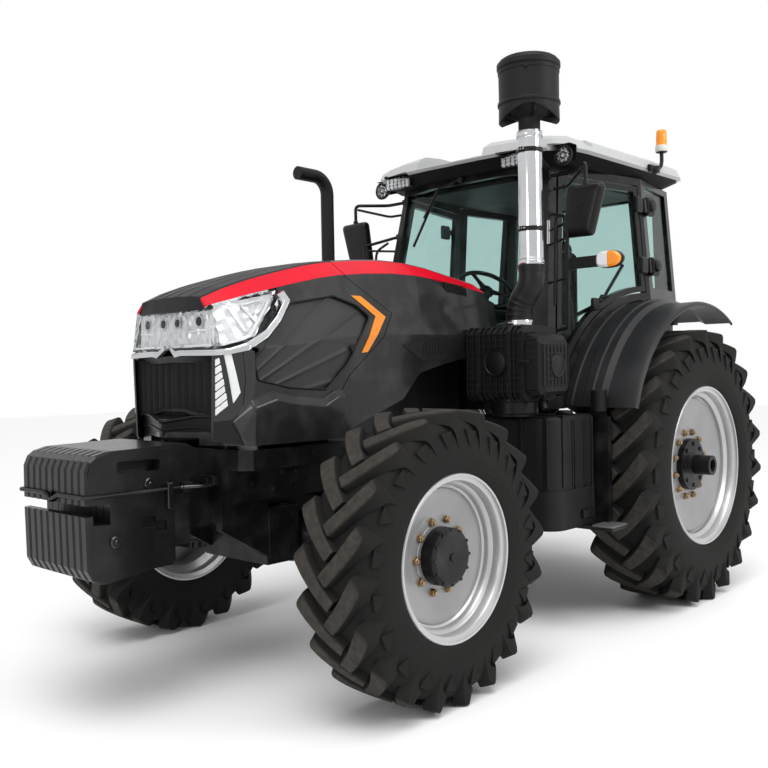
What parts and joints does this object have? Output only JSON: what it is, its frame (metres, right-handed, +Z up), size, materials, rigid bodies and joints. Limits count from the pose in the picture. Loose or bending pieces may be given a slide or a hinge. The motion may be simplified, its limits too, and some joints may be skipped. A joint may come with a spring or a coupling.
{
  "type": "four-wheel-drive farm tractor",
  "caption": "Farm tractor with a cab, a tilting hood, front weights, steered front wheels, lugged tyres and a rear three-point linkage.",
  "frame": {"origin": "on the ground, midway between the front weights' nose and the lower links' ends, on the centre plane", "axes": "+X forward, +Y to the tractor's left, +Z up"},
  "size_m": [5, 2.58, 3.2899],
  "materials": {
    "tyre": "matte",
    "rim": "satin",
    "hub": "satin",
    "chassis": "satin",
    "cast": "satin",
    "body": "gloss",
    "red": "gloss",
    "plastic": "matte",
    "roof": "satin",
    "glass": "clear",
    "lens": "clear",
    "amber": "gloss",
    "chrome": "polished",
    "steel": "satin",
    "seat": "matte"
  },
  "bodies": {
    "chassis": {"engine_block": "cast", "gearbox": "cast", "front_frame": "chassis", "front_axle_beam": "cast", "front_weights": "cast", "weight_carrier": "chassis", "fuel_tanks": "plastic", "steps": "chassis", "hood_mount": "chassis", "air_cleaner": "plastic", "intake_pipe": "chrome", "precleaner": "plastic", "exhaust": "steel", "cab_frame": "body", "cab_glass": "glass", "roof": "roof", "fenders": "plastic", "mirrors": "plastic", "lamps": "lens", "beacon": "amber", "seat": "seat", "controls": "plastic", "hitch": "chassis"},
    "front_wheel_left": {"front_tyre_left": "tyre", "front_rim_left": "rim", "front_hub_left": "hub"},
    "rear_wheel_left": {"rear_tyre_left": "tyre", "rear_rim_left": "rim", "rear_hub_left": "hub"},
    "knuckle_left": {"knuckle_left": "cast"},
    "door_left": {"door_left": "body", "door_glass_left": "glass"},
    "front_wheel_right": {"front_tyre_right": "tyre", "front_rim_right": "rim", "front_hub_right": "hub"},
    "rear_wheel_right": {"rear_tyre_right": "tyre", "rear_rim_right": "rim", "rear_hub_right": "hub"},
    "knuckle_right": {"knuckle_right": "cast"},
    "door_right": {"door_right": "body", "door_glass_right": "glass"},
    "steering_rod": {"steering_rod": "steel"},
    "hood": {"hood_shell": "body", "hood_top": "body", "hood_stripes": "red", "side_mesh": "plastic", "marker_lamps": "amber", "headlights": "lens", "headlight_trim": "chrome", "grille": "plastic", "hood_rear": "body", "rear_stripes": "red"},
    "lower_links": {"lower_links": "chassis"},
    "lift_arms": {"lift_arms": "chassis"},
    "lift_rods": {"lift_rods": "chassis"}
  },
  "joints": [
    {"name": "spin_front_left", "type": "hinge", "parent": "knuckle_left", "child": "front_wheel_left", "pos_m": [1.172, 1.014, 0.673], "axis": [0, 1, 0], "continuous": true},
    {"name": "spin_rear_left", "type": "hinge", "parent": "chassis", "child": "rear_wheel_left", "pos_m": [-1.35, 1.04, 0.8775], "axis": [0, 1, 0], "continuous": true},
    {"name": "steer_left", "type": "hinge", "parent": "chassis", "child": "knuckle_left", "pos_m": [1.172, 0.8, 0.673], "axis": [0, 0, 1], "range_deg": [-40, 40]},
    {"name": "door_left", "type": "hinge", "parent": "chassis", "child": "door_left", "pos_m": [-1.38, 0.858, 2.2], "axis": [0, -0.0764, 0.9971], "range_deg": [0, 70]},
    {"name": "spin_front_right", "type": "hinge", "parent": "knuckle_right", "child": "front_wheel_right", "pos_m": [1.172, -1.014, 0.673], "axis": [0, 1, 0], "continuous": true},
    {"name": "spin_rear_right", "type": "hinge", "parent": "chassis", "child": "rear_wheel_right", "pos_m": [-1.35, -1.04, 0.8775], "axis": [0, 1, 0], "continuous": true},
    {"name": "steer_right", "type": "hinge", "parent": "chassis", "child": "knuckle_right", "pos_m": [1.172, -0.8, 0.673], "axis": [0, 0, 1], "range_deg": [-40, 40]},
    {"name": "door_right", "type": "hinge", "parent": "chassis", "child": "door_right", "pos_m": [-1.38, -0.858, 2.2], "axis": [0, -0.0764, -0.9971], "range_deg": [0, 70]},
    {"name": "steering_slide", "type": "slide", "parent": "chassis", "child": "steering_rod", "axis": [0, 1, 0], "range_m": [-0.1835, 0.1835]},
    {"name": "hood_tilt", "type": "hinge", "parent": "chassis", "child": "hood", "pos_m": [-0.03, 0, 1.985], "axis": [0, -1, 0], "range_deg": [0, 40]},
    {"name": "link_lift", "type": "hinge", "parent": "chassis", "child": "lower_links", "pos_m": [-1.6, 0, 0.6], "axis": [0, 1, 0], "range_deg": [-20, 25]},
    {"name": "arm_lift", "type": "hinge", "parent": "chassis", "child": "lift_arms", "pos_m": [-1.77, 0, 1.02], "axis": [0, 1, 0], "range_deg": [-30.9, 38.6]},
    {"name": "rod_swing", "type": "hinge", "parent": "lift_arms", "child": "lift_rods", "pos_m": [-2.085, 0, 0.965], "axis": [0, 1, 0], "range_deg": [-38.6, 30.9]}
  ],
  "couplings": [
    {"joint": "steer_right", "follows": "steer_left", "ratio": 1},
    {"joint": "steering_slide", "follows": "steer_left", "m_per_rad": -0.2624},
    {"joint": "arm_lift", "follows": "link_lift", "ratio": 1.54},
    {"joint": "rod_swing", "follows": "link_lift", "ratio": -1.54}
  ]
}
